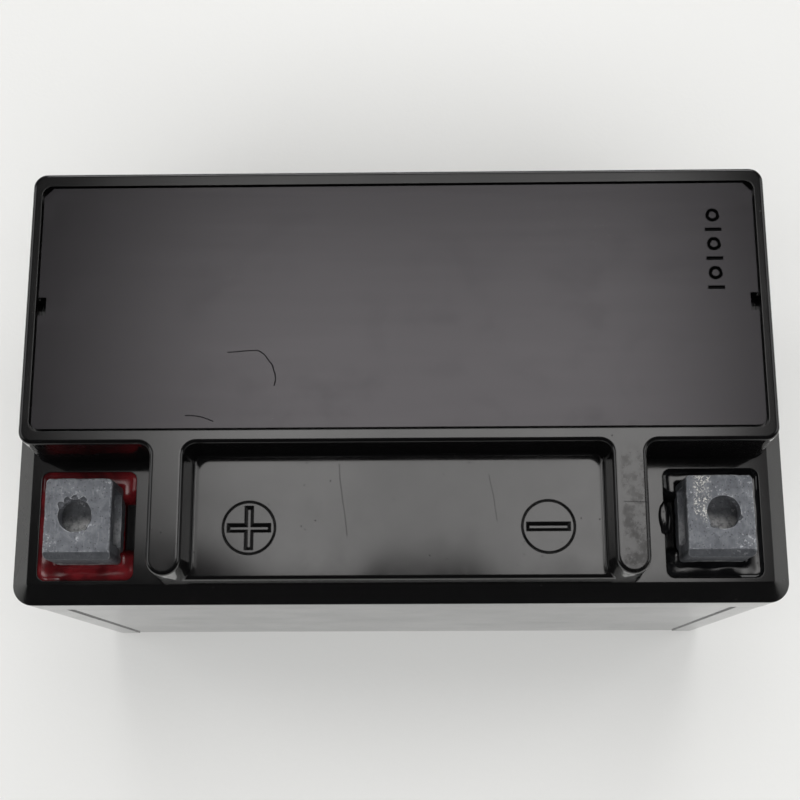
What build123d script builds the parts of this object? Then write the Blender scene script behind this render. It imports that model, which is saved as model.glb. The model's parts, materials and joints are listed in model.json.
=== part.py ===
from build123d import *
import math
import os

# A sealed 12 V lead-acid motorcycle battery with absorbed glass mats, 150 x 87 x 105 mm.
# Frame: +Z up, +X to the negative terminal's side, the terminals face -Y.
# The origin is the centre of the underside. All sizes are in millimetres.

# Overall
LENGTH = 150.0
WIDTH = 87.0
HEIGHT = 105.0
PAST = 1.0                 # how far a cut or a join runs past the surface that it meets
GROOVE_PAST = 0.2          # the same for a groove's cut, which widens as it rises

# Case: a tub with six cells in a row
CASE_INSET = 0.3           # the case's walls stand this far inside the cover's skirt
CASE_TOP = 84.5
CASE_FLOOR = 3.0
CASE_CORNER = 3.0
CASE_BOTTOM_ROUND = 1.0
RIM_INSET = 1.4            # the case's rim is set back, so that the skirt fits round it
RIM_WALL = 2.0
PARTITION = 1.5
CELLS = 6
PANEL_DEPTH = 0.25         # shallow panel between the corner columns, down to the underside
PANEL_MARGIN = 7.0
PANEL_TOP = 75.0
END_PANEL_MARGIN = 7.0
REST_HEIGHT = 4.0          # the ribs that the plates stand on, above the floor
REST_WIDTH = 3.0
REST_Y = 20.0

# Cover: levels, from the skirt up
SKIRT_BOTTOM = 77.5
SHELF = 90.5               # floor of the two terminal recesses
PLATEAU = 95.5             # floor of the recess between the two tongues
BEVEL = 3.6
COVER_CORNER = 4.0
RAISED_BOTTOM = 89.5       # the raised part is rooted this low, in the slope round the shelf
DRAFT = 0.85               # how far each raised wall leans in, from its root to the deck

# Cover: the raised deck and its two tongues, at deck level
DECK_HALF_LENGTH = 70.5
DECK_REAR = 38.2
DECK_FRONT = -15.3
DECK_CORNER = 2.6
TONGUE_X = 42.7
TONGUE_WIDTH = 6.3
TONGUE_TIP = -39.7
TONGUE_FOOT = -39.85       # the tip's wall is flat and upright here, clear of the bevel
RECESS_CORNER = 2.25
EDGE_ROUND = 0.8
PLATEAU_FRONT = -39.6
PLATEAU_LEAN = 0.18
PLATEAU_REAR = -11.0
PLATEAU_ROUND = 0.8
FOOT_ROUND = 0.4           # where the recess's walls meet the plateau

# Tray in the deck, and the plate that closes it
TRAY_HALF_LENGTH = 68.6
TRAY_REAR = 35.6
TRAY_FRONT = -12.9
TRAY_CORNER = 1.9
TRAY_LEDGE = 1.5
TRAY_FLOOR = 94.0
PLATE_GAP = 0.4
PLATE_THICKNESS = 2.0
PLATE_SINK = 0.2           # the plate's top lies this far below the deck
PLATE_CORNER = 1.5
PLATE_REAR_CHAMFER = 1.7
NOTCH_LENGTH = 3.5
NOTCH_DEPTH = 1.5
PRY_DEPTH = 2.5            # how far the ledge is cut down below each notch
MARK_X = 60.4              # row of six stamped marks near the plate's right end
MARK_Y = 21.4
MARK_PITCH = 2.9
MARK_LENGTH = 3.2
MARK_RING = 1.0
MARK_WIDTH = 0.7
MARK_DEPTH = 0.35

# Filler necks and their rubber valve caps
NECK_RADIUS = 4.4
NECK_BORE = 2.9
NECK_TOP = 98.8
CAP_RADIUS = 5.7
CAP_CLEARANCE = 0.3
CAP_TOP = 101.2
CAP_ROUND = 0.8
CAP_BOTTOM = 95.2
CAP_RIM_RADIUS = 6.2
CAP_RIM_HEIGHT = 1.2
CAP_NIPPLE_RADIUS = 2.2
CAP_NIPPLE_HEIGHT = 0.5

# Head space under the cover
COVER_ROOF = 2.5
HEAD_REAR = 36.0
HEAD_FRONT = -11.0
HEAD_SIDE = 1.2

# Polarity signs, cut in the plateau as grooves with sloping sides
SIGN_X = 28.3
SIGN_Y = -29.8
SIGN_RADIUS = 4.95
SIGN_RING_WIDTH = 0.45
SIGN_RING_DEPTH = 0.3
SIGN_BAR = 8.4
SIGN_BAR_WIDTH = 1.75
SIGN_BAR_DEPTH = 0.6
SIGN_BAR_FLOOR = 0.5       # width of the groove's level bottom

# Terminals: a hollow lead block over a round post, given for the positive side
BLOCK_OUTER = -66.2
BLOCK_INNER = -53.5
BLOCK_REAR = -20.8
BLOCK_FRONT = -36.1
BLOCK_TOP = 100.0
BLOCK_BOTTOM = 85.5
BLOCK_CORNER = 0.9
BLOCK_FRONT_CHAMFER = 1.4
BLOCK_EDGE = 0.4
BOLT_X = -60.4
BOLT_Y = -27.9
BOLT_RADIUS = 3.1
NUT_WIDTH = 10.4
NUT_TOP = 97.0
NUT_BOTTOM = 91.0
NUT_DEPTH_X = -65.1
POST_RADIUS = 4.1

# Sealed pocket round each terminal, in the cover
POCKET_OUTER = -69.5
POCKET_INNER = -51.0
POCKET_REAR = -18.0
POCKET_FRONT = -39.1
POCKET_CORNER = 1.6
POCKET_FLOOR = 83.5
BOSS_MARGIN = 0.6
BOSS_BOTTOM = 80.5
SEAL_TOP = 90.2
DAM_FRONT = -33.0          # a low wall that keeps the resin out of the nut's way
DAM_REAR = -24.0
DAM_TOP = 87.5
DAM_GAP = 0.3
RING_RADIUS = 6.6
POST_HOLE = 4.3

# Plate groups, one per cell
POSITIVE_PLATES = 4
POSITIVE_THICKNESS = 1.9
NEGATIVE_THICKNESS = 1.4
MAT_THICKNESS = 0.9
PLATE_PLAY = 0.03          # gap each side of a mat
PLATE_DEPTH = 76.0
PLATE_TOP = 64.0
MAT_OVERHANG = 1.2
LUG_WIDTH = 10.0
LUG_Y = 27.9
STRAP_BOTTOM = 69.0
STRAP_TOP = 73.5
STRAP_WIDTH = 12.0
TAB_THICKNESS = 2.6
TAB_TOP = 80.0
LINK_RADIUS = 4.0
LINK_Z = 75.5

# Worked-out sizes
CASE_HALF_LENGTH = LENGTH / 2 - CASE_INSET
CASE_HALF_WIDTH = WIDTH / 2 - CASE_INSET
RIM_HALF_LENGTH = LENGTH / 2 - RIM_INSET
RIM_HALF_WIDTH = WIDTH / 2 - RIM_INSET
INNER_HALF_LENGTH = RIM_HALF_LENGTH - RIM_WALL
INNER_HALF_WIDTH = RIM_HALF_WIDTH - RIM_WALL
CELL_LENGTH = (2 * INNER_HALF_LENGTH - (CELLS - 1) * PARTITION) / CELLS
CELL_PITCH = CELL_LENGTH + PARTITION
NECK_Y = (TRAY_REAR + TRAY_FRONT) / 2
PLATE_TOP_LEVEL = HEIGHT - PLATE_SINK
PLATE_UNDERSIDE = PLATE_TOP_LEVEL - PLATE_THICKNESS


def block(x0, x1, y0, y1, z0, z1):
    """A box between two corners."""
    centre = Pos((x0 + x1) / 2, (y0 + y1) / 2, (z0 + z1) / 2)
    return centre * Box(abs(x1 - x0), abs(y1 - y0), abs(z1 - z0))


def rounded_block(x0, x1, y0, y1, z0, z1, radius):
    """A box with its four upright edges rounded."""
    outline = RectangleRounded(abs(x1 - x0), abs(y1 - y0), radius)
    return extrude(Pos((x0 + x1) / 2, (y0 + y1) / 2, z0) * outline, z1 - z0)


def disc(x, y, radius, z0, z1):
    """An upright cylinder."""
    return Pos(x, y, (z0 + z1) / 2) * Cylinder(radius, z1 - z0)


def groove_bar(x, y, length, width, floor, level, depth):
    """What a straight groove takes out: sloping sides, and a level bottom of the given width."""
    slope = (width - floor) / 2
    spread = 2 * slope * (depth + GROOVE_PAST) / depth
    low = Pos(x, y, level - depth) * Rectangle(length - 2 * slope, floor)
    high = Pos(x, y, level + GROOVE_PAST) * Rectangle(length - 2 * slope + spread, floor + spread)
    return loft([low, high])


def groove_ring(x, y, radius, width, level, depth):
    """What a round groove with a sharp bottom takes out."""
    half = width / 2 * (depth + GROOVE_PAST) / depth
    cut = Plane.XZ * Polygon((radius, level - depth), (radius + half, level + GROOVE_PAST),
                             (radius - half, level + GROOVE_PAST), align=None)
    return Pos(x, y, 0) * revolve(cut, Axis.Z)


def mirrored(shape, side):
    """The positive side's shape, or its mirror image for the negative side."""
    return shape if side < 0 else mirror(shape, about=Plane.YZ)


def cell_centre(cell):
    """The middle of a cell along X; cells count from 1 on the positive side."""
    return (cell - (CELLS + 1) / 2) * CELL_PITCH


def save(shape, node):
    shape.label = node
    export_step(shape, "parts/" + node + ".step")


def make_case():
    tub = rounded_block(-CASE_HALF_LENGTH, CASE_HALF_LENGTH, -CASE_HALF_WIDTH, CASE_HALF_WIDTH,
                        0, SKIRT_BOTTOM, CASE_CORNER)
    tub = fillet(tub.faces().sort_by(Axis.Z)[0].edges(), CASE_BOTTOM_ROUND)
    tub += rounded_block(-RIM_HALF_LENGTH, RIM_HALF_LENGTH, -RIM_HALF_WIDTH, RIM_HALF_WIDTH,
                         SKIRT_BOTTOM - PAST, CASE_TOP, CASE_CORNER)
    for cell in range(1, CELLS + 1):
        centre = cell_centre(cell)
        tub -= block(centre - CELL_LENGTH / 2, centre + CELL_LENGTH / 2,
                     -INNER_HALF_WIDTH, INNER_HALF_WIDTH, CASE_FLOOR, CASE_TOP)
        for y in (-REST_Y, REST_Y):
            tub += block(centre - CELL_LENGTH / 2, centre + CELL_LENGTH / 2,
                         y - REST_WIDTH / 2, y + REST_WIDTH / 2, CASE_FLOOR, CASE_FLOOR + REST_HEIGHT)
    for side in (-1, 1):
        half = CASE_HALF_LENGTH - PANEL_MARGIN
        face = side * CASE_HALF_WIDTH
        tub -= block(-half, half, face - side * PANEL_DEPTH, face + side * PANEL_DEPTH,
                     -PAST, PANEL_TOP)
        half = CASE_HALF_WIDTH - END_PANEL_MARGIN
        face = side * CASE_HALF_LENGTH
        tub -= block(face - side * PANEL_DEPTH, face + side * PANEL_DEPTH, -half, half,
                     -PAST, PANEL_TOP)
    for cell in range(1, CELLS):
        hole = Rot(0, 90, 0) * Cylinder(LINK_RADIUS, PARTITION)
        tub -= Pos(cell_centre(cell) + CELL_PITCH / 2, link_side(cell) * LUG_Y, LINK_Z) * hole
    return tub


def link_side(cell):
    """+1 where the link from this cell to the next one is at the rear, -1 at the front."""
    return 1 if cell % 2 else -1


def raised_outline():
    """Plan of the deck and its tongues at their root, where the walls' draft is widest."""
    front = DECK_FRONT - DRAFT
    rear = DECK_REAR + DRAFT
    half = DECK_HALF_LENGTH + DRAFT
    plan = Pos(0, (front + rear) / 2) * Rectangle(2 * half, rear - front)
    corners = plan.vertices()
    plan = fillet(corners, DECK_CORNER + DRAFT)
    tip_radius = TONGUE_WIDTH / 2 + DRAFT
    tip_y = TONGUE_TIP + TONGUE_WIDTH / 2
    for side in (-1, 1):
        x = side * TONGUE_X
        length = front + PAST - tip_y
        plan += Pos(x, tip_y + length / 2) * Rectangle(2 * tip_radius, length)
        plan += Pos(x, tip_y) * Circle(tip_radius)
    inner = [v for v in plan.vertices() if abs(v.Y - front) < 0.01
             and abs(abs(abs(v.X) - TONGUE_X) - tip_radius) < 0.01]
    return fillet(inner, RECESS_CORNER - DRAFT)


def make_raised_deck():
    rise = HEIGHT - RAISED_BOTTOM
    lean = math.degrees(math.atan2(DRAFT, rise))
    raised = extrude(Pos(0, 0, RAISED_BOTTOM) * raised_outline(), rise, taper=lean)
    raised = fillet(raised.faces().sort_by(Axis.Z)[-1].edges(), EDGE_ROUND)
    return raised - block(-LENGTH / 2, LENGTH / 2, -WIDTH / 2, TONGUE_FOOT, RAISED_BOTTOM, HEIGHT)


def make_plateau():
    """The raised floor between the tongues, which rolls off at its front edge."""
    side = Plane.YZ * Polygon((PLATEAU_FRONT - PLATEAU_LEAN, SHELF), (PLATEAU_FRONT, PLATEAU),
                              (PLATEAU_REAR, PLATEAU), (PLATEAU_REAR, SHELF), align=None)
    bar = Pos(-TONGUE_X, 0, 0) * extrude(side, 2 * TONGUE_X, dir=(1, 0, 0))
    crest = [e for e in bar.edges() if abs(e.center().Z - PLATEAU) < 0.01
             and abs(e.center().Y - PLATEAU_FRONT) < 0.01]
    return fillet(crest, PLATEAU_ROUND)


def sign_cuts():
    """The grooves of the plus sign and the minus sign, each in its circle."""
    cuts = []
    for side in (-1, 1):
        cuts.append(groove_ring(side * SIGN_X, SIGN_Y, SIGN_RADIUS, SIGN_RING_WIDTH,
                                PLATEAU, SIGN_RING_DEPTH))
        cuts.append(groove_bar(side * SIGN_X, SIGN_Y, SIGN_BAR, SIGN_BAR_WIDTH, SIGN_BAR_FLOOR,
                               PLATEAU, SIGN_BAR_DEPTH))
    upright = groove_bar(0, 0, SIGN_BAR, SIGN_BAR_WIDTH, SIGN_BAR_FLOOR, PLATEAU, SIGN_BAR_DEPTH)
    cuts.append(Pos(-SIGN_X, SIGN_Y, 0) * Rot(0, 0, 90) * upright)
    return cuts


def make_cover():
    base = rounded_block(-LENGTH / 2, LENGTH / 2, -WIDTH / 2, WIDTH / 2,
                         SKIRT_BOTTOM, SHELF, COVER_CORNER)
    base = chamfer(base.faces().sort_by(Axis.Z)[-1].edges(), BEVEL)
    base -= rounded_block(-RIM_HALF_LENGTH, RIM_HALF_LENGTH, -RIM_HALF_WIDTH, RIM_HALF_WIDTH,
                          SKIRT_BOTTOM - PAST, CASE_TOP, CASE_CORNER)
    cover = base + make_raised_deck() + make_plateau()
    foot = [e for e in cover.edges() if abs(e.center().Z - PLATEAU) < 0.01
            and e.center().Y > PLATEAU_FRONT + 2 * PLATEAU_ROUND]
    cover = fillet(foot, FOOT_ROUND)
    for cut in sign_cuts():
        cover -= cut
    # the tray: a ledge for the plate, and a deeper floor inside it
    cover -= rounded_block(-TRAY_HALF_LENGTH, TRAY_HALF_LENGTH, TRAY_FRONT, TRAY_REAR,
                           PLATE_UNDERSIDE, HEIGHT + PAST, TRAY_CORNER)
    inner = TRAY_HALF_LENGTH - TRAY_LEDGE
    cover -= block(-inner, inner, TRAY_FRONT + TRAY_LEDGE, TRAY_REAR - TRAY_LEDGE,
                   TRAY_FLOOR, HEIGHT)
    for side in (-1, 1):
        cover -= block(side * (inner - PAST), side * TRAY_HALF_LENGTH, NECK_Y - NOTCH_LENGTH / 2,
                       NECK_Y + NOTCH_LENGTH / 2, PLATE_UNDERSIDE - PRY_DEPTH, PLATE_UNDERSIDE)
    # each cell's head space, and its filler neck
    for cell in range(1, CELLS + 1):
        x = cell_centre(cell)
        half = CELL_LENGTH / 2 - HEAD_SIDE
        cover -= block(x - half, x + half, HEAD_FRONT, HEAD_REAR, CASE_TOP, TRAY_FLOOR - COVER_ROOF)
        if 1 < cell < CELLS:
            cover -= block(x - half, x + half, PLATEAU_FRONT + COVER_ROOF, HEAD_FRONT,
                           CASE_TOP, PLATEAU - COVER_ROOF - SIGN_BAR_DEPTH)
        cover += disc(x, NECK_Y, NECK_RADIUS, TRAY_FLOOR, NECK_TOP)
        cover -= disc(x, NECK_Y, NECK_BORE, CASE_TOP, NECK_TOP + PAST)
    # each terminal's pocket, in a boss that hangs into the end cell
    for side in (-1, 1):
        boss = block(POCKET_OUTER - BOSS_MARGIN, POCKET_INNER + BOSS_MARGIN,
                     POCKET_FRONT - BOSS_MARGIN, POCKET_REAR + BOSS_MARGIN, BOSS_BOTTOM, CASE_TOP)
        pocket = rounded_block(POCKET_OUTER, POCKET_INNER, POCKET_FRONT, POCKET_REAR,
                               POCKET_FLOOR, SHELF + PAST, POCKET_CORNER)
        hole = disc(BOLT_X, BOLT_Y, POST_HOLE, BOSS_BOTTOM - PAST, POCKET_FLOOR + PAST)
        dam = block(BLOCK_INNER + DAM_GAP, POCKET_INNER, DAM_FRONT, DAM_REAR, POCKET_FLOOR, DAM_TOP)
        cover += mirrored(boss, side)
        cover -= mirrored(pocket, side)
        cover -= mirrored(hole, side)
        cover += mirrored(dam, side)
    return cover


def stamped_marks(level):
    """Six plain marks in a row: short strokes and small rings by turns."""
    cuts = []
    for mark in range(6):
        y = MARK_Y + (mark - 2.5) * MARK_PITCH
        if mark % 2:
            cuts.append(groove_ring(MARK_X, y, MARK_RING, MARK_WIDTH, level, MARK_DEPTH))
        else:
            cuts.append(groove_bar(MARK_X, y, MARK_LENGTH, MARK_WIDTH, MARK_WIDTH / 3,
                                   level, MARK_DEPTH))
    return cuts


def make_top_plate():
    half = TRAY_HALF_LENGTH - PLATE_GAP
    front = TRAY_FRONT + PLATE_GAP
    rear = TRAY_REAR - PLATE_GAP
    outline = Pos(0, (front + rear) / 2) * Rectangle(2 * half, rear - front)
    outline = chamfer(outline.vertices().group_by(Axis.Y)[-1], PLATE_REAR_CHAMFER)
    outline = fillet(outline.vertices().group_by(Axis.Y)[0], PLATE_CORNER)
    plate = extrude(Pos(0, 0, PLATE_UNDERSIDE) * outline, PLATE_THICKNESS)
    for side in (-1, 1):
        edge = side * half
        plate -= block(edge - side * NOTCH_DEPTH, edge + side, NECK_Y - NOTCH_LENGTH / 2,
                       NECK_Y + NOTCH_LENGTH / 2, PLATE_UNDERSIDE, PLATE_TOP_LEVEL)
    for cut in stamped_marks(PLATE_TOP_LEVEL):
        plate -= cut
    return plate


def make_valve_cap(x):
    """A soft cup pressed down over the filler neck, with a rim to grip and a small nipple."""
    cap = disc(x, NECK_Y, CAP_RADIUS, CAP_BOTTOM, CAP_TOP)
    cap = fillet(cap.faces().sort_by(Axis.Z)[-1].edges(), CAP_ROUND)
    cap += disc(x, NECK_Y, CAP_RIM_RADIUS, CAP_BOTTOM, CAP_BOTTOM + CAP_RIM_HEIGHT)
    cap += disc(x, NECK_Y, CAP_NIPPLE_RADIUS, CAP_TOP, CAP_TOP + CAP_NIPPLE_HEIGHT)
    return cap - disc(x, NECK_Y, NECK_RADIUS + CAP_CLEARANCE, CAP_BOTTOM - PAST, NECK_TOP)


def block_blank():
    """The lead block's outer shape, without its edges, hole and nut pocket."""
    return rounded_block(BLOCK_OUTER, BLOCK_INNER, BLOCK_FRONT, BLOCK_REAR,
                         BLOCK_BOTTOM, BLOCK_TOP, BLOCK_CORNER)


def make_terminal(side):
    body = block_blank()
    body = chamfer(body.faces().sort_by(Axis.Z)[-1].edges(), BLOCK_EDGE)
    corner = Plane.YZ * Polygon((BLOCK_FRONT - PAST, BLOCK_TOP - BLOCK_FRONT_CHAMFER - PAST),
                                (BLOCK_FRONT + BLOCK_FRONT_CHAMFER + PAST, BLOCK_TOP + PAST),
                                (BLOCK_FRONT - PAST, BLOCK_TOP + PAST), align=None)
    middle = (BLOCK_OUTER + BLOCK_INNER) / 2
    body -= Pos(middle, 0, 0) * extrude(corner, BLOCK_INNER - BLOCK_OUTER, both=True)
    body -= block(NUT_DEPTH_X, BLOCK_INNER + PAST, BOLT_Y - NUT_WIDTH / 2, BOLT_Y + NUT_WIDTH / 2,
                  NUT_BOTTOM, NUT_TOP)
    body -= disc(BOLT_X, BOLT_Y, BOLT_RADIUS, NUT_TOP - PAST, BLOCK_TOP + PAST)
    body += disc(BOLT_X, BOLT_Y, POST_RADIUS, STRAP_TOP, BLOCK_BOTTOM + PAST)
    return mirrored(body, side)


def make_post_ring(side):
    ring = disc(BOLT_X, BOLT_Y, RING_RADIUS, POCKET_FLOOR, BLOCK_BOTTOM)
    ring -= disc(BOLT_X, BOLT_Y, POST_RADIUS, POCKET_FLOOR - PAST, BLOCK_BOTTOM + PAST)
    return mirrored(ring, side)


def make_seal(side):
    """The potting resin that fills the pocket round the block, except at the dam."""
    seal = rounded_block(POCKET_OUTER, POCKET_INNER, POCKET_FRONT, POCKET_REAR,
                         POCKET_FLOOR, SEAL_TOP, POCKET_CORNER)
    seal -= block_blank()
    seal -= disc(BOLT_X, BOLT_Y, RING_RADIUS, POCKET_FLOOR - PAST, BLOCK_BOTTOM)
    seal -= block(BLOCK_INNER + DAM_GAP, POCKET_INNER + PAST, DAM_FRONT, DAM_REAR,
                  POCKET_FLOOR - PAST, DAM_TOP)
    seal -= block(BLOCK_INNER - PAST, POCKET_INNER + PAST, DAM_FRONT, DAM_REAR,
                  DAM_TOP, SEAL_TOP + PAST)
    return mirrored(seal, side)


def make_plate_group(cell, thickness, offsets, strap_side, tab_end):
    """Plates of one polarity in one cell, their lugs, and the strap that joins the lugs.

    tab_end is -1 or +1 where the strap has a tab against that end's partition, or 0."""
    centre = cell_centre(cell)
    lug_y = strap_side * LUG_Y
    group = None
    for offset in offsets:
        x0 = centre + offset - thickness / 2
        plate = block(x0, x0 + thickness, -PLATE_DEPTH / 2, PLATE_DEPTH / 2,
                      CASE_FLOOR + REST_HEIGHT, PLATE_TOP)
        plate += block(x0, x0 + thickness, lug_y - LUG_WIDTH / 2, lug_y + LUG_WIDTH / 2,
                       PLATE_TOP, STRAP_BOTTOM)
        group = plate if group is None else group + plate
    reach = CELL_LENGTH / 2
    low = offsets[0] - thickness / 2
    high = offsets[-1] + thickness / 2
    if tab_end < 0:
        low = -reach
    if tab_end > 0:
        high = reach
    group += block(centre + low, centre + high, lug_y - STRAP_WIDTH / 2, lug_y + STRAP_WIDTH / 2,
                   STRAP_BOTTOM, STRAP_TOP)
    if tab_end:
        face = centre + tab_end * reach
        group += block(face, face - tab_end * TAB_THICKNESS, lug_y - STRAP_WIDTH / 2,
                       lug_y + STRAP_WIDTH / 2, STRAP_BOTTOM, TAB_TOP)
    return group


def make_mats(cell, offsets):
    """The glass mats between the plates of one cell."""
    centre = cell_centre(cell)
    half = PLATE_DEPTH / 2 + MAT_OVERHANG
    mats = []
    for offset in offsets:
        x = centre + offset
        mats.append(block(x - MAT_THICKNESS / 2, x + MAT_THICKNESS / 2, -half, half,
                          CASE_FLOOR + REST_HEIGHT, PLATE_TOP + MAT_OVERHANG))
    return Compound(children=mats)


def make_link(cell):
    """The weld through the partition between this cell and the next."""
    weld = Rot(0, 90, 0) * Cylinder(LINK_RADIUS, PARTITION)
    return Pos(cell_centre(cell) + CELL_PITCH / 2, link_side(cell) * LUG_Y, LINK_Z) * weld


def stack_offsets():
    """Where each plate and mat of a cell stands along X, from the cell's centre."""
    step = (POSITIVE_THICKNESS + NEGATIVE_THICKNESS) / 2 + MAT_THICKNESS + 2 * PLATE_PLAY
    negative = [step * 2 * (i - POSITIVE_PLATES / 2) for i in range(POSITIVE_PLATES + 1)]
    positive = [x + step for x in negative[:-1]]
    reach = POSITIVE_THICKNESS / 2 + PLATE_PLAY + MAT_THICKNESS / 2
    mats = []
    for x in positive:
        mats += [x - reach, x + reach]
    return positive, negative, mats


def main():
    os.makedirs("parts", exist_ok=True)
    save(make_case(), "case")
    save(make_cover(), "cover")
    save(make_top_plate(), "top_plate")
    positive, negative, mats = stack_offsets()
    for cell in range(1, CELLS + 1):
        save(make_valve_cap(cell_centre(cell)), "valve_cap_%d" % cell)
        # the positive strap faces the terminal or the link from the cell before
        positive_side = -link_side(cell)
        positive_tab = -1 if cell > 1 else 0
        negative_tab = 1 if cell < CELLS else 0
        save(make_plate_group(cell, POSITIVE_THICKNESS, positive, positive_side, positive_tab),
             "cell_%d_positive_plates" % cell)
        save(make_plate_group(cell, NEGATIVE_THICKNESS, negative, -positive_side, negative_tab),
             "cell_%d_negative_plates" % cell)
        save(make_mats(cell, mats), "cell_%d_glass_mats" % cell)
    for cell in range(1, CELLS):
        save(make_link(cell), "intercell_link_%d" % cell)
    for name, side in (("positive", -1), ("negative", 1)):
        save(make_terminal(side), name + "_terminal")
        save(make_post_ring(side), name + "_post_ring")
        save(make_seal(side), name + "_seal")


main()
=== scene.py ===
import json
import math

import bmesh
import bpy
from mathutils import Matrix, Vector, noise


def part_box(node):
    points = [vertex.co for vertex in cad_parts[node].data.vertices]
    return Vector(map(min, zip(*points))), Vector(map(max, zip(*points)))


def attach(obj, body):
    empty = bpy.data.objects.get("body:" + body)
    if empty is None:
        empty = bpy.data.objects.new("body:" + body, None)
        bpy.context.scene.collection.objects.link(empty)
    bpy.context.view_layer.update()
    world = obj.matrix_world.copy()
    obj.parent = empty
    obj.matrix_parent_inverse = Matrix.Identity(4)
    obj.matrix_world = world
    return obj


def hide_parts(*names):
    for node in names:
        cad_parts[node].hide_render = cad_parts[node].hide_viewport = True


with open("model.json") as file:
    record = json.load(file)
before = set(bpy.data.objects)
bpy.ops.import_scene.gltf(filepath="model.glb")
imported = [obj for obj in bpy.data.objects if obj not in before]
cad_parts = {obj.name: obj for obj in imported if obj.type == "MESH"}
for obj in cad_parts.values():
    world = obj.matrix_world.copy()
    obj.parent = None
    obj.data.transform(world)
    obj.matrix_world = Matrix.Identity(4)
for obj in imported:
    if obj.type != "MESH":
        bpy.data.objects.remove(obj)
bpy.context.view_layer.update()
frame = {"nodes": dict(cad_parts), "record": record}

# A sealed motorcycle battery: glossy black case and cover, cast lead terminals set in resin.
# Everything is in metres, in the frame of the CAD model.

MM = 0.001
CELLS = 6
PAST = 1 * MM                              # how far a cut or a join runs past the surface it meets


def mount_place(name):
    return Vector(next(m for m in frame["record"]["mounts"] if m["name"] == name)["pos_m"])


# The cast terminals. The positive one is at -BOLT_X and the negative one at BOLT_X.
BOLT_X = mount_place("negative_terminal_hole").x
BOLT_Y = mount_place("negative_terminal_hole").y
HOLE_RADIUS = 3.05 * MM
BLOCK_HEIGHT = 14.5 * MM
BLOCK_CORNER = 0.9 * MM
BLOCK_EDGE = 0.4 * MM
BLOCK_FRONT_CHAMFER = 1.4 * MM
NUT_HALF_WIDTH = 5.2 * MM
NUT_ROOF_DEPTH = 3 * MM                    # the nut pocket's roof and floor, below the block's top
NUT_FLOOR_DEPTH = 9 * MM
NUT_WALL = 1.1 * MM                        # what is left of the block behind the pocket
POST_RADIUS = 4.1 * MM
CAST_VOXEL = 0.17 * MM
# chips out of each hole's rim: angle in degrees, distance from the hole's middle and size in mm
CHIPS = {-1: ((62, 3.25, 0.6), (92, 3.3, 0.55), (118, 3.2, 0.6), (143, 3.35, 0.6), (-50, 3.0, 0.5)),
         1: ((-20, 3.0, 0.5), (228, 3.0, 0.55))}

# The resin round the terminals
DAM = (-33.0 * MM, -24.0 * MM)             # the stretch beside each block that has no resin
DAM_SLOPE = 1.3 * MM
SEAL_CORNER = 1.6 * MM
SEAL_INNER_CORNER = 0.5 * MM
SEAL_LAP = 0.25 * MM                       # how far the resin's inner border lies inside the block
SEAL_BED = 0.3 * MM                        # how far its underside stays above its node's
SEAL_CORNER_STEPS = 8
SEAL_SIDE_STEPS = 30
SEAL_RINGS = 26

PLATE_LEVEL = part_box("top_plate")[1].z

# Camera
CAMERA_PLACE = (4.4 * MM, -65.8 * MM, 349.5 * MM)
CAMERA_TURN = (13.435, 0.887, -0.376)      # degrees about X, Y and Z, from looking straight down
CAMERA_LENS = 60.9

# Light and floor
PANEL_PLACE = (-0.015, 0.335, 1.305)
PANEL_HALF_SIZE = (0.52, 0.41)
PANEL_STRENGTH = 4.3
FLOOR_HALF_SIZE = 8.0
FLOOR_GAP = 0.05 * MM                      # keeps the floor just clear of the case's underside

nodes = frame["nodes"]


# --------------------------------------------------------------------------- shader helper

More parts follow.
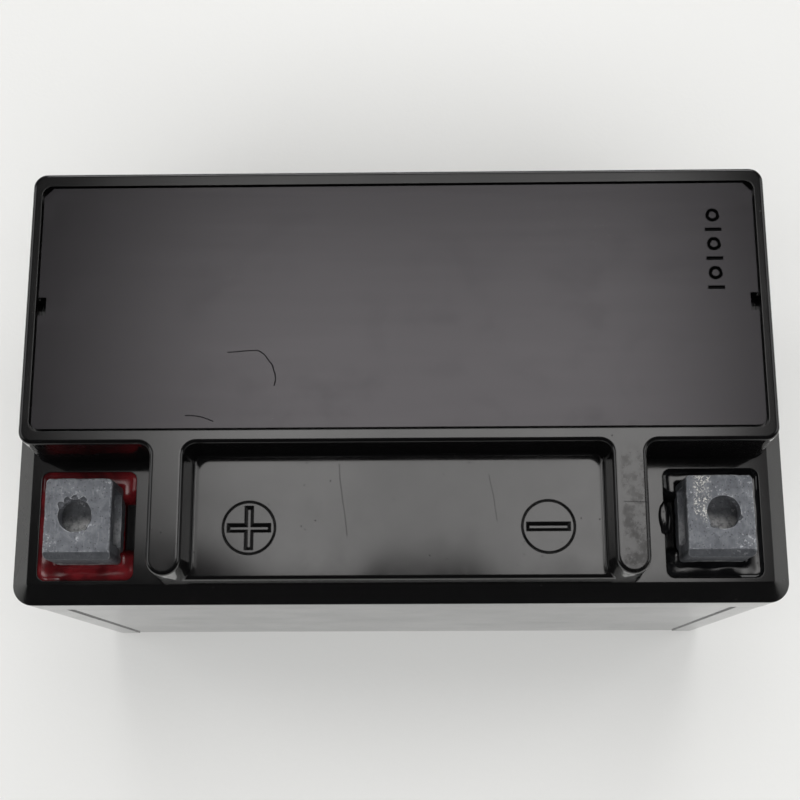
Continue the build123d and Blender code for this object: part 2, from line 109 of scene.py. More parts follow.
class Shader:
    """A material whose nodes are added one call at a time, with sockets passed between calls."""

    def __init__(self, name):
        self.material = bpy.data.materials.new(name)
        self.material.use_nodes = True
        self.tree = self.material.node_tree
        self.tree.nodes.clear()
        self.output = self.tree.nodes.new("ShaderNodeOutputMaterial")
        self.place = self.tree.nodes.new("ShaderNodeTexCoord").outputs["Object"]

    def node(self, kind, **settings):
        made = self.tree.nodes.new(kind)
        for key, value in settings.items():
            setattr(made, key, value)
        return made

    def feed(self, socket, value):
        if isinstance(value, bpy.types.NodeSocket):
            self.tree.links.new(value, socket)
        else:
            socket.default_value = value

    def stretched(self, scale, turn=0.0):
        made = self.node("ShaderNodeMapping")
        self.feed(made.inputs["Vector"], self.place)
        made.inputs["Scale"].default_value = scale
        made.inputs["Rotation"].default_value = (0, 0, turn)
        return made.outputs["Vector"]

    def noise(self, scale, detail=3.0, rough=0.5, place=None, distort=0.0):
        made = self.node("ShaderNodeTexNoise")
        self.feed(made.inputs["Vector"], place or self.place)
        made.inputs["Scale"].default_value = scale
        made.inputs["Detail"].default_value = detail
        made.inputs["Roughness"].default_value = rough
        made.inputs["Distortion"].default_value = distort
        return made.outputs["Fac"]

    def cells(self, scale):
        made = self.node("ShaderNodeTexVoronoi", feature="F1")
        self.feed(made.inputs["Vector"], self.place)
        made.inputs["Scale"].default_value = scale
        return made.outputs["Distance"]

    def math(self, operation, a, b=0.0):
        made = self.node("ShaderNodeMath", operation=operation)
        for socket, value in zip(made.inputs, (a, b)):
            self.feed(socket, value)
        return made.outputs[0]

    def ranged(self, value, low, high, to_low=0.0, to_high=1.0):
        made = self.node("ShaderNodeMapRange", interpolation_type="SMOOTHSTEP")
        for socket, number in zip(made.inputs, (value, low, high, to_low, to_high)):
            self.feed(socket, number)
        return made.outputs[0]

    def colours(self, factor, stops):
        made = self.node("ShaderNodeValToRGB")
        self.feed(made.inputs["Fac"], factor)
        ramp = made.color_ramp
        while len(ramp.elements) < len(stops):
            ramp.elements.new(0.5)
        for element, (position, colour) in zip(ramp.elements, stops):
            element.position = position
            element.color = (*colour, 1.0)
        return made.outputs["Color"]

    def mixed(self, factor, a, b):
        made = self.node("ShaderNodeMix", data_type="RGBA")
        self.feed(made.inputs["Factor"], factor)
        for socket, colour in ((made.inputs[6], a), (made.inputs[7], b)):
            self.feed(socket, (*colour, 1.0) if isinstance(colour, tuple) else colour)
        return made.outputs[2]

    def bump(self, height, distance, strength=1.0, under=None):
        made = self.node("ShaderNodeBump")
        self.feed(made.inputs["Height"], height)
        made.inputs["Distance"].default_value = distance
        made.inputs["Strength"].default_value = strength
        if under is not None:
            self.feed(made.inputs["Normal"], under)
        return made.outputs["Normal"]

    def axis(self, name):
        made = self.node("ShaderNodeSeparateXYZ")
        self.feed(made.inputs[0], self.place)
        return made.outputs[name]

    def soft_edges(self, radius):
        """A normal that rounds the mesh's sharp edges by this radius."""
        made = self.node("ShaderNodeBevel", samples=6)
        made.inputs["Radius"].default_value = radius
        return made.outputs["Normal"]

    def finish(self, colour, roughness, normal=None, **settings):
        made = self.node("ShaderNodeBsdfPrincipled")
        self.feed(made.inputs["Base Color"], colour)
        self.feed(made.inputs["Roughness"], roughness)
        if normal is not None:
            self.feed(made.inputs["Normal"], normal)
        for key, value in settings.items():
            self.feed(made.inputs[key.replace("_", " ")], value)
        self.feed(self.output.inputs["Surface"], made.outputs["BSDF"])
        return self.material


# --------------------------------------------------------------------------- materials

def hair_arc(s, centre, radius, half_width, start, end):
    """1 on a thin arc on a level face, and 0 elsewhere. Lengths in mm, start and end in radians."""
    x = s.math("SUBTRACT", s.axis("X"), centre[0] * MM)
    y = s.math("SUBTRACT", s.axis("Y"), centre[1] * MM)
    away = s.math("SQRT", s.math("ADD", s.math("MULTIPLY", x, x), s.math("MULTIPLY", y, y)))
    wobble = s.math("MULTIPLY", s.math("SUBTRACT", s.noise(260.0), 0.5), 0.8 * MM)
    off = s.math("ABSOLUTE", s.math("SUBTRACT", s.math("ADD", away, wobble), radius * MM))
    line = s.ranged(off, half_width * 0.5 * MM, half_width * MM, 1.0, 0.0)
    angle = s.math("ARCTAN2", y, x)
    inside = s.math("MULTIPLY", s.math("GREATER_THAN", angle, start), s.math("LESS_THAN", angle, end))
    return s.math("MULTIPLY", line, inside)


def hair_line(s, start, end, half_width):
    """1 on a thin, slightly wavy line between two points of a level face, in mm, and 0 elsewhere."""
    length = math.hypot(end[0] - start[0], end[1] - start[1])
    ux, uy = (end[0] - start[0]) / length, (end[1] - start[1]) / length
    x = s.math("SUBTRACT", s.axis("X"), start[0] * MM)
    y = s.math("SUBTRACT", s.axis("Y"), start[1] * MM)
    along = s.math("ADD", s.math("MULTIPLY", x, ux), s.math("MULTIPLY", y, uy))
    across = s.math("SUBTRACT", s.math("MULTIPLY", x, uy), s.math("MULTIPLY", y, ux))
    wobble = s.math("MULTIPLY", s.math("SUBTRACT", s.noise(140.0), 0.5), 0.9 * MM)
    off = s.math("ABSOLUTE", s.math("ADD", across, wobble))
    line = s.ranged(off, half_width * 0.5 * MM, half_width * MM, 1.0, 0.0)
    inside = s.math("MULTIPLY", s.math("GREATER_THAN", along, 0.0),
                    s.math("LESS_THAN", along, length * MM))
    return s.math("MULTIPLY", line, inside)


def near(s, name, middle, reach):
    """1 near one value of a coordinate, in mm, and 0 farther off, with a soft border."""
    off = s.math("ABSOLUTE", s.math("SUBTRACT", s.axis(name), middle * MM))
    return s.ranged(off, reach * 0.7 * MM, reach * MM, 1.0, 0.0)


def black_plastic(name, tone, wave, scratched=False):
    """Moulded plastic: a clear gloss over a faint haze, with slow waves, dust and specks."""
    s = Shader(name)
    dust = s.ranged(s.noise(210.0, 6.0, 0.62), 0.55, 0.8)
    specks = s.ranged(s.cells(640.0), 0.05, 0.1, 1.0, 0.0)
    specks = s.math("MULTIPLY", specks, s.ranged(s.noise(75.0, 3.0), 0.52, 0.66))
    colour = s.mixed(s.math("MULTIPLY", dust, 0.35), tone, tuple(v * 2.2 + 0.004 for v in tone))
    rub = s.ranged(s.noise(90.0, 5.0, 0.6, distort=0.4), 0.42, 0.72)
    rough = s.math("ADD", 0.07, s.math("MULTIPLY", rub, 0.05))
    rough = s.math("ADD", rough, s.math("MULTIPLY", dust, 0.03))
    gloss = s.ranged(s.noise(55.0, 5.0, 0.6), 0.3, 0.7, 0.84, 0.94)
    edge = s.soft_edges(0.2 * MM)
    slow = s.bump(s.noise(28.0, 1.0, 0.4), wave, under=edge)
    worn = s.bump(specks, 0.02 * MM, under=slow)
    if scratched:
        lines = s.math("MAXIMUM", hair_line(s, (-11.4, -17.6), (-9.7, -31.4), 0.09),
                       s.math("MULTIPLY", hair_line(s, (17.2, -19.9), (18.8, -28.7), 0.07), 0.5))
        lines = s.math("MAXIMUM", lines, hair_line(s, (41.2, -26.6), (45.8, -26.7), 0.08))
        worn = s.bump(lines, -0.05 * MM, under=worn)
        # dust on top of the right tongue
        dirty = s.ranged(s.noise(420.0, 6.0, 0.7), 0.4, 0.62)
        dirty = s.math("MULTIPLY", near(s, "X", 43.4, 2.9), dirty)
        dirty = s.math("MULTIPLY", dirty, s.ranged(s.axis("Y"), -19.0 * MM, -15.0 * MM, 1.0, 0.0))
        dirty = s.math("MULTIPLY", dirty, s.ranged(s.axis("Z"), 103.5 * MM, 104.8 * MM))
        colour = s.mixed(s.math("MULTIPLY", dirty, 0.5), colour, (0.016, 0.0145, 0.0135))
        rough = s.math("ADD", rough, s.math("MULTIPLY", dirty, 0.1))
        gloss = s.math("SUBTRACT", gloss, s.math("MULTIPLY", dirty, 0.22))
    colour = s.mixed(s.math("MULTIPLY", specks, 0.5), colour, (0.02, 0.019, 0.018))
    return s.finish(colour, 0.36, worn, Specular_IOR_Level=0.07, Coat_Weight=gloss,
                    Coat_Roughness=rough, Coat_Normal=worn)


def plate_plastic():
    """The flat cover plate: flow lines along its length, two hair scratches, rubbed patches."""
    s = Shader("plate_plastic")
    flow_place = s.stretched((26.0, 420.0, 60.0))
    flow = s.noise(1.0, 4.0, 0.6, place=flow_place)
    rub = s.ranged(s.noise(75.0, 6.0, 0.62, distort=0.6), 0.45, 0.75)
    specks = s.ranged(s.cells(900.0), 0.06, 0.11, 1.0, 0.0)
    specks = s.math("MULTIPLY", specks, s.ranged(s.noise(60.0), 0.5, 0.7))
    long_hair = s.math("MAXIMUM", hair_arc(s, (-28.6, -3.0), 5.8, 0.12, -0.25, 1.15),
                       hair_line(s, (-31.9, 2.1), (-26.2, 2.35), 0.1))
    short_hair = hair_arc(s, (-39.0, -19.6), 9.6, 0.1, 1.05, 1.62)
    hairs = s.math("MAXIMUM", long_hair, short_hair)
    # painted shade: faces below the plate's top face, its sides included, are painted near black and
    # lose most of their shine
    deep = s.math("LESS_THAN", s.axis("Z"), PLATE_LEVEL - 0.06 * MM)
    tone = s.mixed(rub, (0.0048, 0.0046, 0.0052), (0.0078, 0.0074, 0.0084))
    tone = s.mixed(s.math("MULTIPLY", specks, 0.5), tone, (0.03, 0.03, 0.03))
    tone = s.mixed(hairs, tone, (0.001, 0.001, 0.001))
    tone = s.mixed(deep, tone, (0.0012, 0.0012, 0.0012))
    rough = s.math("ADD", 0.2, s.math("MULTIPLY", flow, 0.05))
    rough = s.math("ADD", rough, s.math("MULTIPLY", rub, 0.05))
    rough = s.math("ADD", rough, s.math("MULTIPLY", hairs, 0.5))
    edge = s.soft_edges(0.15 * MM)
    slow = s.bump(s.noise(16.0, 1.0, 0.4), 0.1 * MM, under=edge)
    fine = s.bump(flow, 0.012 * MM, under=slow)
    marks = s.bump(hairs, 0.08 * MM, under=fine)
    shine = s.math("MULTIPLY", s.math("SUBTRACT", 1.0, s.math("MULTIPLY", deep, 0.9)), 0.47)
    return s.finish(tone, rough, marks, Specular_IOR_Level=shine,
                    Specular_Tint=(1.0, 0.955, 1.0, 1.0))


def cast_lead():
    """Grey cast lead: a matt bloom, drawn streaks, bright worn edges and dark pits, with painted shade
    on the front chamfer and painted light on the nut pocket's floor.
    """
    s = Shader("cast_lead")
    bloom = s.noise(420.0, 6.0, 0.65, distort=0.5)
    tone = s.colours(bloom, [(0.28, (0.1, 0.106, 0.118)), (0.5, (0.15, 0.157, 0.172)),
                             (0.72, (0.22, 0.23, 0.245))])
    streaks = s.noise(1.0, 4.0, 0.6, place=s.stretched((2600.0, 500.0, 900.0), turn=0.5))
    scraped = s.math("MULTIPLY", s.ranged(streaks, 0.52, 0.68),
                     s.ranged(s.noise(260.0, 4.0, 0.6), 0.42, 0.6))
    tone = s.mixed(s.math("MULTIPLY", scraped, 0.3), tone, (0.3, 0.31, 0.335))
    flakes = s.math("MULTIPLY", s.ranged(s.noise(1500.0, 4.0, 0.7), 0.56, 0.62),
                    s.ranged(s.noise(190.0, 3.0, 0.5), 0.5, 0.64))
    tone = s.mixed(s.math("MULTIPLY", flakes, 0.75), tone, (0.52, 0.53, 0.55))
    worn = s.node("ShaderNodeNewGeometry").outputs["Pointiness"]
    worn = s.math("MULTIPLY", s.ranged(worn, 0.508, 0.54),
                  s.ranged(s.noise(500.0, 4.0, 0.6), 0.3, 0.6))
    tone = s.mixed(s.math("MULTIPLY", worn, 0.7), tone, (0.42, 0.43, 0.45))
    pits = s.ranged(s.cells(1500.0), 0.1, 0.3)
    tone = s.mixed(s.ranged(pits, 0.0, 1.0, 0.5, 0.0), tone, (0.03, 0.032, 0.036))
    # a patch of loose bright grains on the negative block, beside its hole
    patch = s.math("MULTIPLY", near(s, "X", 56.6, 1.9), near(s, "Y", -25.2, 5.2))
    grains = s.ranged(s.noise(2400.0, 3.0, 0.7), 0.5, 0.6)
    grains = s.math("MULTIPLY", grains, s.ranged(s.noise(300.0, 3.0), 0.38, 0.55))
    patch = s.math("MULTIPLY", patch, grains)
    tone = s.mixed(patch, tone, (0.62, 0.61, 0.57))
    # painted light: the front of the nut pocket's floor, under the hole, is painted bright where light
    # falls in through the hole
    pocket = s.math("MULTIPLY", near(s, "Z", 91.0, 1.0),
                    s.ranged(s.noise(900.0, 4.0, 0.7), 0.3, 0.6, 0.2, 1.0))
    away = s.math("ABSOLUTE", s.math("SUBTRACT", s.math("ABSOLUTE", s.axis("X")), BOLT_X))
    pocket = s.math("MULTIPLY", pocket, s.ranged(away, 4.0 * MM, 5.6 * MM, 1.0, 0.25))
    pocket = s.math("MULTIPLY", pocket, s.ranged(s.axis("Y"), -29.2 * MM, -26.2 * MM, 1.0, 0.08))
    tone = s.mixed(pocket, tone, (0.8, 0.8, 0.8))
    # painted shade: the front chamfer is painted darker than the rest of the lead, as if it lay in shade
    chamfer_shade = s.ranged(s.axis("Y"), -35.0 * MM, -34.5 * MM, 0.55, 0.0)
    tone = s.mixed(chamfer_shade, tone, (0.035, 0.037, 0.042))
    rough = s.math("SUBTRACT", 0.66, s.math("MULTIPLY", scraped, 0.2))
    lumps = s.bump(s.noise(700.0, 5.0, 0.6), 0.1 * MM)
    drawn = s.bump(streaks, 0.05 * MM, under=lumps)
    fine = s.bump(pits, 0.03 * MM, under=drawn)
    return s.finish(tone, rough, fine, Metallic=0.5, Specular_IOR_Level=0.35)


def strap_lead():
    s = Shader("strap_lead")
    bloom = s.noise(300.0, 5.0, 0.6)
    tone = s.colours(bloom, [(0.3, (0.1, 0.105, 0.115)), (0.7, (0.24, 0.25, 0.27))])
    return s.finish(tone, 0.5, s.bump(bloom, 0.08 * MM), Metallic=0.7)


def resin(name, deep, thin, roughness):
    """Potting resin: glossy, with darker and lighter cloudy patches, and a few small bubbles."""
    s = Shader(name)
    cloud = s.noise(220.0, 4.0, 0.55, distort=0.4)
    tone = s.mixed(s.ranged(cloud, 0.35, 0.7), deep, thin)
    bubbles = s.ranged(s.cells(700.0), 0.05, 0.12, 1.0, 0.0)
    slow = s.bump(s.noise(150.0, 2.0, 0.5), 0.1 * MM)
    fine = s.bump(bubbles, 0.05 * MM, strength=0.6, under=slow)
    rough = s.math("ADD", roughness, s.math("MULTIPLY", cloud, 0.06))
    return s.finish(tone, rough, fine, Specular_IOR_Level=0.35, Coat_Weight=0.15, Coat_Roughness=0.05)


def rubber():
    s = Shader("valve_rubber")
    bloom = s.noise(500.0, 5.0, 0.6)
    tone = s.colours(bloom, [(0.3, (0.012, 0.012, 0.012)), (0.75, (0.035, 0.034, 0.033))])
    return s.finish(tone, s.ranged(bloom, 0.3, 0.7, 0.5, 0.68), s.bump(bloom, 0.05 * MM))


def paste(name, dark, light):
    s = Shader(name)
    grain = s.noise(1100.0, 6.0, 0.7)
    tone = s.colours(grain, [(0.3, dark), (0.7, light)])
    return s.finish(tone, 0.85, s.bump(grain, 0.1 * MM))


def glass_mat():
    s = Shader("glass_mat")
    fibres = s.noise(1.0, 6.0, 0.7, place=s.stretched((2500.0, 500.0, 900.0)), distort=0.8)
    tone = s.colours(fibres, [(0.3, (0.62, 0.63, 0.62)), (0.7, (0.88, 0.89, 0.88))])
    return s.finish(tone, 0.9, s.bump(fibres, 0.1 * MM), Sheen_Weight=0.3)


def floor_paint():
    s = Shader("floor_paint")
    cloud = s.noise(3.0, 3.0, 0.5)
    tone = s.mixed(cloud, (0.72, 0.72, 0.705), (0.76, 0.76, 0.745))
    return s.finish(tone, 0.6, s.bump(s.noise(900.0, 2.0), 0.03 * MM), Specular_IOR_Level=0.3)


# --------------------------------------------------------------------------- mesh helpers

def mesh_piece(name, verts, faces, material, smooth=True):
    mesh = bpy.data.meshes.new(name)
    mesh.from_pydata(verts, [], faces)
    mesh.update()
    if smooth:
        mesh.shade_smooth()
    mesh.materials.append(material)
    piece = bpy.data.objects.new(name, mesh)
    bpy.context.scene.collection.objects.link(piece)
    return piece


def lerp(a, b, t):
    return a + (b - a) * t


def paint(names, material):
    for name in names:
        mesh = nodes[name].data
        if not mesh.materials:
            mesh.materials.append(material)
        for index in range(len(mesh.materials)):
            mesh.materials[index] = material


# --------------------------------------------------------------------------- terminals

def box_shape(low, high):
    made = bmesh.new()
    bmesh.ops.create_cube(made, size=1.0)
    centre = (Vector(low) + Vector(high)) / 2
    size = Vector(high) - Vector(low)
    for vert in made.verts:
        vert.co = Vector((vert.co.x * size.x, vert.co.y * size.y, vert.co.z * size.z)) + centre
    return made


def as_object(shape, name):
    mesh = bpy.data.meshes.new(name)
    shape.to_mesh(mesh)
    shape.free()
    made = bpy.data.objects.new(name, mesh)
    bpy.context.scene.collection.objects.link(made)
    return made


def applied(piece):
    """The piece's mesh with its modifiers applied."""
    bpy.context.view_layer.update()
    seen = piece.evaluated_get(bpy.context.evaluated_depsgraph_get())
    mesh = bpy.data.meshes.new_from_object(seen)
    piece.modifiers.clear()
    piece.data = mesh
    return piece


def cut_away(piece, tool):
    step = piece.modifiers.new("cut", "BOOLEAN")
    step.operation = "DIFFERENCE"
    step.solver = "EXACT"
    step.object = tool
    applied(piece)
    bpy.data.objects.remove(tool)


def rounded_block(low, high):
    """The cast block's blank: rounded upright edges, a softened top, and a chamfer at the front."""
    shape = box_shape(low, high)
    upright = [e for e in shape.edges if abs(e.verts[0].co.z - e.verts[1].co.z) > MM]
    bmesh.ops.bevel(shape, geom=upright, offset=BLOCK_CORNER, segments=6, profile=0.5, affect="EDGES")
    rim = [e for e in shape.edges if all(abs(v.co.z - high[2]) < 1e-6 for v in e.verts)
           and len(e.link_faces) == 2 and abs(e.link_faces[0].normal.z - e.link_faces[1].normal.z) > 0.5]
    bmesh.ops.bevel(shape, geom=rim, offset=BLOCK_EDGE, segments=2, profile=0.5, affect="EDGES")
    middle = Vector((0, low[1] + BLOCK_FRONT_CHAMFER, high[2]))
    cut = bmesh.ops.bisect_plane(shape, geom=shape.verts[:] + shape.edges[:] + shape.faces[:],
                                 plane_co=middle, plane_no=(0, -1, 1), clear_outer=True)
    border = [g for g in cut["geom_cut"] if isinstance(g, bmesh.types.BMEdge)]
    bmesh.ops.contextual_create(shape, geom=border)
    bmesh.ops.recalc_face_normals(shape, faces=shape.faces)
    return shape


def drill_shape(x, top, side):
    """What the bolt hole takes out: a slightly uneven cylinder, from above the top to the pocket."""
    drill = bmesh.new()
    bmesh.ops.create_cone(drill, cap_ends=True, segments=72, radius1=HOLE_RADIUS,
                          radius2=HOLE_RADIUS, depth=6 * MM)
    for vert in drill.verts:
        angle = math.atan2(vert.co.y, vert.co.x)
        grow = 1.0 + 0.02 * noise.noise(Vector((math.cos(angle) * 2.1, math.sin(angle) * 2.1, side)))
        vert.co.x *= grow
        vert.co.y *= grow
        vert.co += Vector((x, BOLT_Y, top - 0.8 * MM))
    return drill


def chip_shape(x, angle, radius, size, top):
    """A small lump that is broken out of the hole's rim."""
    chip = bmesh.new()
    bmesh.ops.create_icosphere(chip, subdivisions=2, radius=size)
    turn = math.radians(angle)
    for vert in chip.verts:
        vert.co *= 1.0 + 0.35 * noise.noise(vert.co * 2500 + Vector((angle, 0, 0)))
        vert.co.z *= 2.2
        vert.co += Vector((x + radius * math.cos(turn), BOLT_Y + radius * math.sin(turn), top))
    return chip


def lead_terminal(node, side, seed):
    """The cast block: rounded and dented by its mould, with a hole, a nut pocket and its post."""
    low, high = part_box(node)
    top = high.z
    block_bottom = top - BLOCK_HEIGHT
    piece = as_object(rounded_block((low.x, low.y, block_bottom), (high.x, high.y, top)),
                      node + "_cast")
    inner = high.x if side < 0 else low.x
    outer = low.x if side < 0 else high.x
    hole_x = side * BOLT_X
    ends = (outer - side * NUT_WALL, inner - side * PAST)
    pocket = box_shape((min(ends), BOLT_Y - NUT_HALF_WIDTH, top - NUT_FLOOR_DEPTH),
                       (max(ends), BOLT_Y + NUT_HALF_WIDTH, top - NUT_ROOF_DEPTH))
    cut_away(piece, as_object(pocket, "pocket"))
    cut_away(piece, as_object(drill_shape(hole_x, top, side), "drill"))
    for angle, reach, size in CHIPS[side]:
        cut_away(piece, as_object(chip_shape(hole_x, angle, reach * MM, size * MM, top), "chip"))

    post = bmesh.new()
    bmesh.ops.create_cone(post, cap_ends=True, segments=48, radius1=POST_RADIUS,
                          radius2=POST_RADIUS, depth=block_bottom - low.z + PAST)
    for vert in post.verts:
        vert.co += Vector((hole_x, BOLT_Y, (block_bottom + PAST + low.z) / 2))
    stem = as_object(post, "stem")
    join = piece.modifiers.new("join", "BOOLEAN")
    join.operation = "UNION"
    join.solver = "EXACT"
    join.object = stem
    applied(piece)
    bpy.data.objects.remove(stem)

    remesh = piece.modifiers.new("remesh", "REMESH")
    remesh.mode = "VOXEL"
    remesh.voxel_size = CAST_VOXEL
    applied(piece)
    rough_cast(piece.data, low, high, seed)
    piece.data.shade_smooth()
    piece.data.materials.clear()
    piece.data.materials.append(MATERIALS["terminal_lead"])
    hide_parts(node)
    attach(piece, "root")


def rough_cast(mesh, low, high, seed):
    """Moves the surface as casting and handling left it, and never outside the node's box."""
    count = len(mesh.vertices)
    places = [0.0] * (3 * count)
    normals = [0.0] * (3 * count)
    mesh.vertices.foreach_get("co", places)
    mesh.vertices.foreach_get("normal", normals)
    shift = Vector((seed * 7.3, seed * 3.1, 0))
    for first in range(0, 3 * count, 3):
        place = Vector(places[first:first + 3])
        at = place / MM + shift
        broad = noise.noise(at * 0.22) * 0.14
        lumps = noise.fractal(at * 0.9, 0.6, 2.1, 3) * 0.05
        dents = min(0.0, noise.noise(at * 0.55) + 0.25) * 0.3
        push = (broad + lumps + dents - 0.08) * MM
        for axis in range(3):
            moved = place[axis] + normals[first + axis] * push
            places[first + axis] = min(max(moved, low[axis]), high[axis])
    mesh.vertices.foreach_set("co", places)
    mesh.update()


# --------------------------------------------------------------------------- resin seals

def rounded_rectangle(low, high, radius):
    """Points round a rectangle with rounded corners, counter-clockwise, evenly spread on each side."""
    points = []
    corners = [(high[0] - radius, low[1] + radius, -90), (high[0] - radius, high[1] - radius, 0),
               (low[0] + radius, high[1] - radius, 90), (low[0] + radius, low[1] + radius, 180)]
    for index, (x, y, start) in enumerate(corners):
        for k in range(SEAL_CORNER_STEPS):
            angle = math.radians(start + 90.0 * k / (SEAL_CORNER_STEPS - 1))
            points.append((x + radius * math.cos(angle), y + radius * math.sin(angle)))
        nx, ny, _ = corners[(index + 1) % 4]
        end = math.radians(start + 90.0)
        ax, ay = x + radius * math.cos(end), y + radius * math.sin(end)
        bx, by = nx + radius * math.cos(end), ny + radius * math.sin(end)
        for k in range(1, SEAL_SIDE_STEPS):
            t = k / SEAL_SIDE_STEPS
            points.append((lerp(ax, bx, t), lerp(ay, by, t)))
    return points


def seal_piece(node, terminal, side, slot, overflow):
    """The resin round a block: it climbs at the pocket's wall and at the lead, and sags between.

    Beside the nut pocket the cover's dam keeps the resin out."""
    low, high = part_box(node)
    block_low, block_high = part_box(terminal)
    outer = rounded_rectangle((low.x, low.y), (high.x, high.y), SEAL_CORNER)
    inner = rounded_rectangle((block_low.x + SEAL_LAP, block_low.y + SEAL_LAP),
                              (block_high.x - SEAL_LAP, block_high.y - SEAL_LAP), SEAL_INNER_CORNER)
    level = high.z
    verts, faces = [], []
    count = len(outer)
    inner_face = block_high.x if side < 0 else block_low.x
    for ring in range(SEAL_RINGS + 1):
        t = ring / SEAL_RINGS
        for (ax, ay), (bx, by) in zip(inner, outer):
            x, y = lerp(ax, bx, t), lerp(ay, by, t)
            width = math.hypot(bx - ax, by - ay)
            from_wall = (1 - t) * width
            from_lead = t * width
            climb = 0.55 * math.exp(-from_wall / (0.5 * MM)) + 0.45 * math.exp(-from_lead / (0.45 * MM))
            sag = -0.55 + 0.12 * noise.noise(Vector((x, y, 0)) * 260)
            z = level + (sag + climb) * MM
            beside = (inner_face - x) * side
            if beside > -0.3 * MM:
                into = min(y - DAM[0], DAM[1] - y) + DAM_SLOPE
                drop = min(max(into / DAM_SLOPE, 0.0), 1.0)
                z -= 2.3 * MM * drop * drop
            verts.append((x, y, z))
    for ring in range(SEAL_RINGS):
        for k in range(count):
            a, b = ring * count + k, ring * count + (k + 1) % count
            faces.append((a, a + count, b + count, b))
    # underside, and the walls down to it
    top_count = len(verts)
    for points in (inner, outer):
        verts += [(x, y, low.z + SEAL_BED) for x, y in points]
    under_inner, under_outer = top_count, top_count + count
    last = SEAL_RINGS * count
    for k in range(count):
        n = (k + 1) % count
        faces.append((k, n, under_inner + n, under_inner + k))
        faces.append((last + n, last + k, under_outer + k, under_outer + n))
        faces.append((under_inner + k, under_inner + n, under_outer + n, under_outer + k))
    piece = mesh_piece(node + "_poured", verts, faces, MATERIALS[slot])
    ends = (inner_face, inner_face - side * 4 * MM)
    dam = box_shape((min(ends), DAM[0], low.z - PAST), (max(ends), DAM[1], high.z + PAST))
    cut_away(piece, as_object(dam, "dam"))
    piece.data.shade_smooth()
    piece.data.set_sharp_from_angle(angle=math.radians(50))
    if overflow:
        add_overflow(piece, low, level)
    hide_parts(node)
    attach(piece, "root")


def add_overflow(piece, low, level):
    """The black resin that ran out over the shelf's edge beside the dam, as a flat drop."""
    shape = bmesh.new()
    shape.from_mesh(piece.data)
    middle = Vector((low.x + 0.1 * MM, DAM[1] - 3.6 * MM, level + 0.28 * MM))
    drop = bmesh.ops.create_uvsphere(shape, u_segments=40, v_segments=16, radius=1.0)
    for vert in drop["verts"]:
        angle = math.atan2(vert.co.y, vert.co.x)
        ragged = 1.0 + 0.22 * noise.noise(Vector((math.cos(angle) * 1.9, math.sin(angle) * 1.9, 4.0)))
        vert.co = middle + Vector((vert.co.x * 1.25 * MM * ragged, vert.co.y * 3.4 * MM * ragged,
                                   vert.co.z * (0.42 if vert.co.z > 0 else 0.9) * MM))
    for face in shape.faces:
        face.smooth = True
    shape.to_mesh(piece.data)
    shape.free()


# --------------------------------------------------------------------------- stage, light, camera

def sheet_corners(half_x, half_y):
    return [(-half_x, -half_y, 0), (half_x, -half_y, 0), (half_x, half_y, 0), (-half_x, half_y, 0)]


def make_floor():
    floor = mesh_piece("floor", sheet_corners(FLOOR_HALF_SIZE, FLOOR_HALF_SIZE), [(0, 1, 2, 3)],
                       floor_paint(), smooth=False)
    floor.location.z = -FLOOR_GAP


def make_ceiling_panel():
    """A soft overhead panel behind the camera's line, which the black faces mirror.

    It fades towards its ends and its rear, and its front border is ragged."""
    s = Shader("panel_light")
    x = s.axis("X")
    y = s.axis("Y")
    dimmer = s.ranged(y, -0.22, -0.05, 0.04, 0.0)
    left = s.ranged(s.math("SUBTRACT", x, dimmer), -0.46, -0.13)
    right = s.ranged(x, 0.26, 0.43, 1.0, 0.0)
    middle = s.ranged(s.math("ABSOLUTE", s.math("SUBTRACT", x, 0.045)), 0.04, 0.17, 0.86, 1.0)
    cloud = s.ranged(s.math("ABSOLUTE", s.math("SUBTRACT", x, 0.02)), 0.04, 0.095, 0.034, 0.0)
    corner = s.ranged(x, -0.24, -0.10, 0.046, 0.0)
    wavy = s.math("MULTIPLY", s.math("SUBTRACT", s.noise(16.0, 2.0), 0.5), 0.02)
    border = s.math("SUBTRACT", s.math("SUBTRACT", s.math("ADD", y, wavy), cloud), corner)
    front = s.ranged(border, -0.288, -0.238)
    back = s.ranged(y, -0.02, 0.40, 1.0, 0.0)
    shape = s.math("MULTIPLY", s.math("MULTIPLY", left, right), s.math("MULTIPLY", front, back))
    shape = s.math("MULTIPLY", shape, middle)
    light = s.node("ShaderNodeEmission")
    s.feed(light.inputs["Color"], (1.0, 0.985, 0.975, 1.0))
    s.feed(light.inputs["Strength"], s.math("MULTIPLY", shape, PANEL_STRENGTH))
    s.feed(s.output.inputs["Surface"], light.outputs[0])
    panel = mesh_piece("panel", sheet_corners(*PANEL_HALF_SIZE), [(3, 2, 1, 0)], s.material,
                       smooth=False)
    panel.location = PANEL_PLACE
    panel.visible_camera = False


def area_light(name, place, size, power, aim=(0, 0, 0.05), mirrored=True):
    data = bpy.data.lights.new(name, "AREA")
    data.shape = "RECTANGLE"
    data.size, data.size_y = size
    data.energy = power
    light = bpy.data.objects.new(name, data)
    light.location = place
    light.rotation_euler = (Vector(aim) - Vector(place)).to_track_quat("-Z", "Y").to_euler()
    light.visible_glossy = mirrored
    bpy.context.scene.collection.objects.link(light)


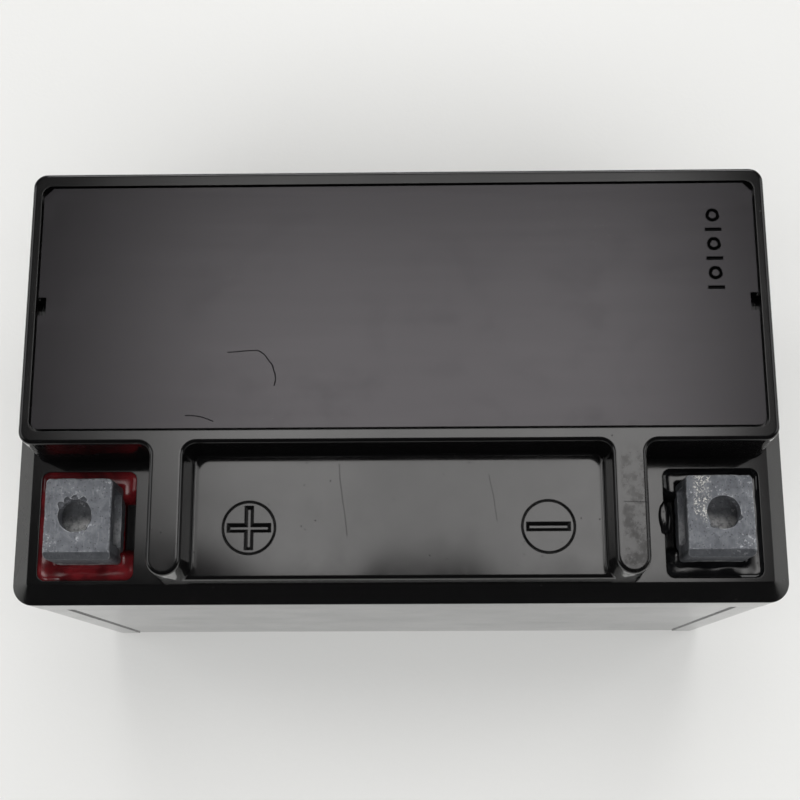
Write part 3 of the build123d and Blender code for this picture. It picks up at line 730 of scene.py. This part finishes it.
def make_light():
    make_ceiling_panel()
    area_light("left_soft", (-1.5, 0.2, 1.1), (1.3, 1.3), 8)
    area_light("right_soft", (1.5, 0.3, 1.1), (1.3, 1.3), 8)
    area_light("rear_soft", (0.1, 1.9, 1.2), (1.6, 1.0), 18)
    area_light("front_fill", (0.0, -0.8, 1.7), (1.8, 1.0), 28, mirrored=False)
    world = bpy.data.worlds.new("studio")
    world.use_nodes = True
    tree = world.node_tree
    backdrop = tree.nodes["Background"]
    backdrop.inputs["Color"].default_value = (0.02, 0.02, 0.021, 1)
    seen = tree.nodes.new("ShaderNodeBackground")
    seen.inputs["Color"].default_value = (0.72, 0.72, 0.71, 1)
    path = tree.nodes.new("ShaderNodeLightPath")
    mix = tree.nodes.new("ShaderNodeMixShader")
    tree.links.new(path.outputs["Is Camera Ray"], mix.inputs[0])
    tree.links.new(backdrop.outputs[0], mix.inputs[1])
    tree.links.new(seen.outputs[0], mix.inputs[2])
    tree.links.new(mix.outputs[0], tree.nodes["World Output"].inputs["Surface"])
    bpy.context.scene.world = world
    bpy.context.scene.view_settings.view_transform = "Standard"


def make_camera():
    data = bpy.data.cameras.new("camera")
    data.lens = CAMERA_LENS
    data.sensor_width = 36.0
    data.clip_start = 0.01
    camera = bpy.data.objects.new("camera", data)
    turn = Matrix.Identity(4)
    for degrees, axis in zip(CAMERA_TURN, "XYZ"):
        turn = turn @ Matrix.Rotation(math.radians(degrees), 4, axis)
    camera.matrix_world = Matrix.Translation(CAMERA_PLACE) @ turn
    bpy.context.scene.collection.objects.link(camera)
    bpy.context.scene.camera = camera


# --------------------------------------------------------------------------- the battery

MATERIALS = {
    "case_plastic": black_plastic("case_plastic", (0.005, 0.005, 0.0055), 0.05 * MM),
    "cover_plastic": black_plastic("cover_plastic", (0.0022, 0.0021, 0.0022), 0.08 * MM,
                                   scratched=True),
    "plate_plastic": plate_plastic(),
    "terminal_lead": cast_lead(),
    "strap_lead": strap_lead(),
    "red_resin": resin("red_resin", (0.04, 0.003, 0.004), (0.115, 0.008, 0.0105), 0.14),
    "black_resin": resin("black_resin", (0.0016, 0.0016, 0.0018), (0.004, 0.004, 0.0045), 0.1),
    "valve_rubber": rubber(),
    "positive_plate": paste("positive_plate", (0.05, 0.024, 0.016), (0.13, 0.07, 0.045)),
    "negative_plate": paste("negative_plate", (0.2, 0.205, 0.215), (0.38, 0.39, 0.4)),
    "glass_mat": glass_mat(),
}


def paint_cad_nodes():
    paint(["case"], MATERIALS["case_plastic"])
    paint(["cover"], MATERIALS["cover_plastic"])
    paint(["top_plate"], MATERIALS["plate_plastic"])
    paint(["positive_post_ring", "negative_post_ring"], MATERIALS["valve_rubber"])
    for cell in range(1, CELLS + 1):
        paint(["valve_cap_%d" % cell], MATERIALS["valve_rubber"])
        paint(["cell_%d_positive_plates" % cell], MATERIALS["positive_plate"])
        paint(["cell_%d_negative_plates" % cell], MATERIALS["negative_plate"])
        paint(["cell_%d_glass_mats" % cell], MATERIALS["glass_mat"])
    for cell in range(1, CELLS):
        paint(["intercell_link_%d" % cell], MATERIALS["strap_lead"])


make_camera()
make_floor()
make_light()
paint_cad_nodes()
lead_terminal("positive_terminal", -1, 1)
lead_terminal("negative_terminal", 1, 2)
seal_piece("positive_seal", "positive_terminal", -1, "red_resin", overflow=False)
seal_piece("negative_seal", "negative_terminal", 1, "black_resin", overflow=True)
